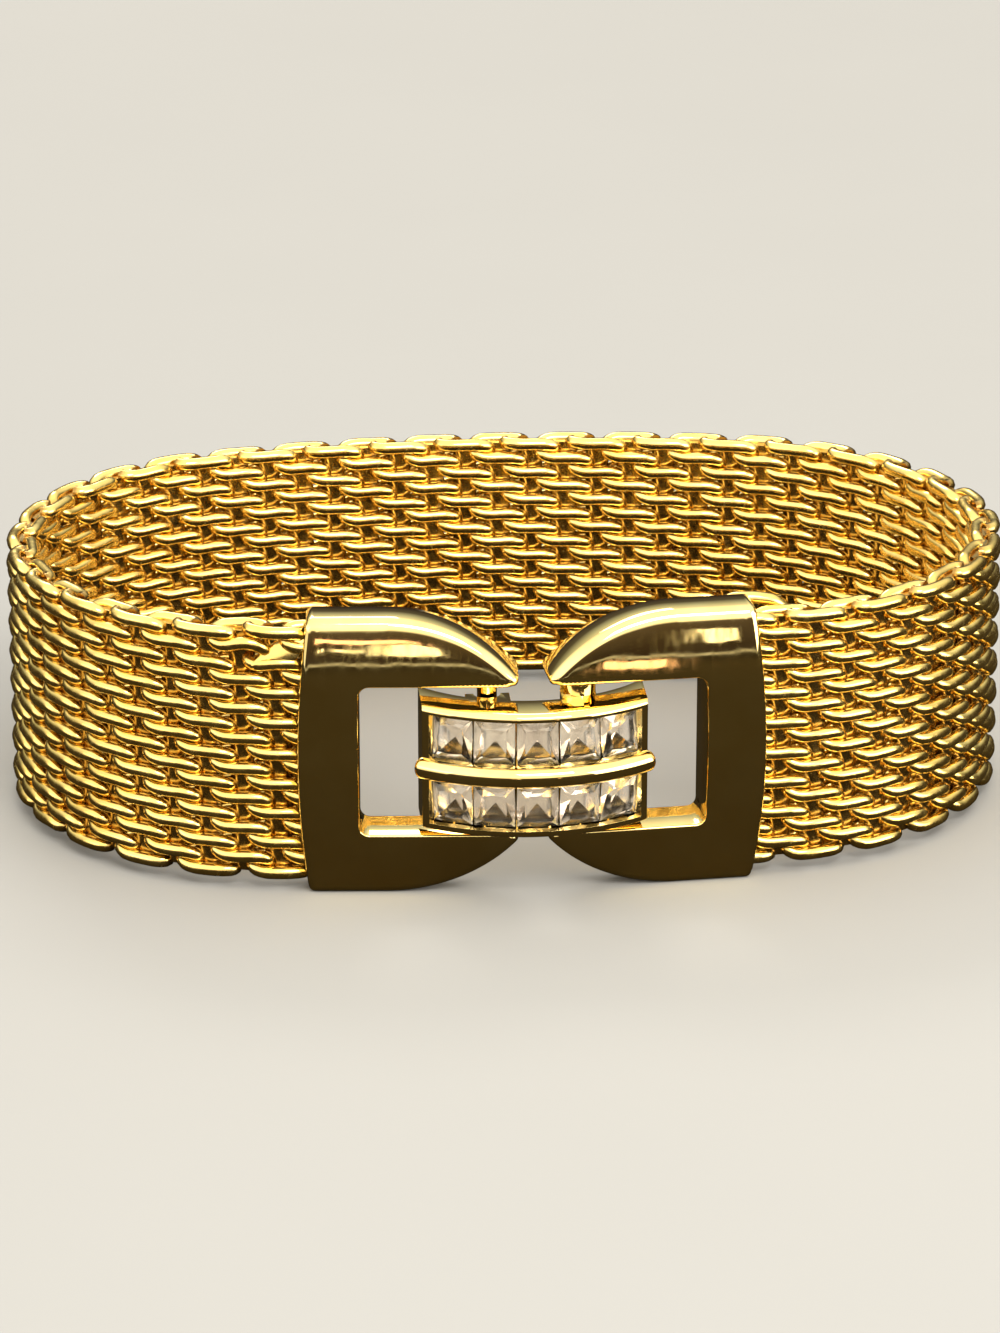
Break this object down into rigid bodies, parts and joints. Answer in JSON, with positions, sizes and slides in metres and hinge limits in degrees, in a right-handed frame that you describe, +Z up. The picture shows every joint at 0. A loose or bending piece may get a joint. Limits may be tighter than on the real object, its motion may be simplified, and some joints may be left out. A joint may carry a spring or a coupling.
{
  "type": "mesh bracelet",
  "caption": "Closed bracelet of flat woven mesh, with a bow-shaped clasp of mirrored frames joined by a hinged, arched bar set with square crystals on both sides of a raised ridge.",
  "frame": {"origin": "bottom centre of the whole closed bracelet, on the surface that it lies on", "axes": "+X along the loop's length towards the hinged side of the clasp, +Y from the clasp to the back of the loop, +Z up across the band's width"},
  "size_m": [0.0728, 0.0494, 0.0206],
  "materials": {
    "gold_mesh": "gold-tone wire, softly polished",
    "polished_gold": "mirror-polished gold tone",
    "crystal": "clear faceted crystal"
  },
  "bodies": {
    "band": {"mesh_band": "gold_mesh", "left_frame": "polished_gold", "right_frame": "polished_gold"},
    "lever": {"clasp_bar": "polished_gold", "upper_stone_1": "crystal", "upper_stone_2": "crystal", "upper_stone_3": "crystal", "upper_stone_4": "crystal", "upper_stone_5": "crystal", "lower_stone_1": "crystal", "lower_stone_2": "crystal", "lower_stone_3": "crystal", "lower_stone_4": "crystal", "lower_stone_5": "crystal"}
  },
  "joints": [
    {"name": "clasp_hinge", "type": "hinge", "parent": "band", "child": "lever", "pos_m": [0.00504, -0.0189, 0.0103], "axis": [0, 0, 1], "range_deg": [0, 100]}
  ]
}
